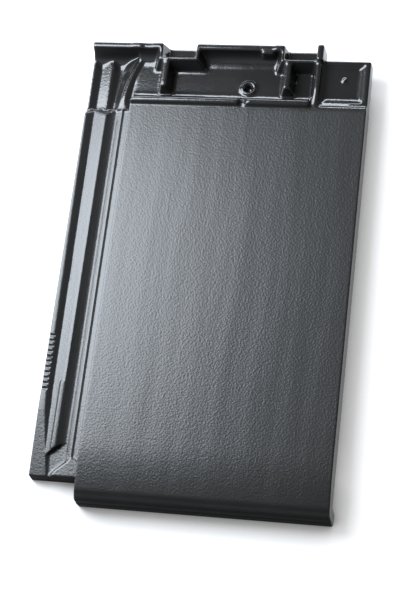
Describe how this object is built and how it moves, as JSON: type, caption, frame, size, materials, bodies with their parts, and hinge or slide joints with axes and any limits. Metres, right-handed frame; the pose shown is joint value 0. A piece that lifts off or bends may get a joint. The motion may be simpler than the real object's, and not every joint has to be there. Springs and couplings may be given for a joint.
{
  "type": "clay roof tile",
  "caption": "Flat interlocking clay roof tile with a dark satin engobe, a grooved water channel along one side, a bead, trough and back wall at the head, and a turned-down lip at the foot.",
  "frame": {"origin": "on the floor, below the middle of the tile's outline", "axes": "+Y up the roof slope from the foot to the head, +Z out of the tile's face, +X across the tile from its channel to its cover flange"},
  "size_m": [0.281, 0.46, 0.036],
  "materials": {
    "engobed_clay": "satin anthracite engobe on fired clay"
  },
  "bodies": {
    "root": {"roof_tile": "engobed_clay"}
  },
  "joints": []
}
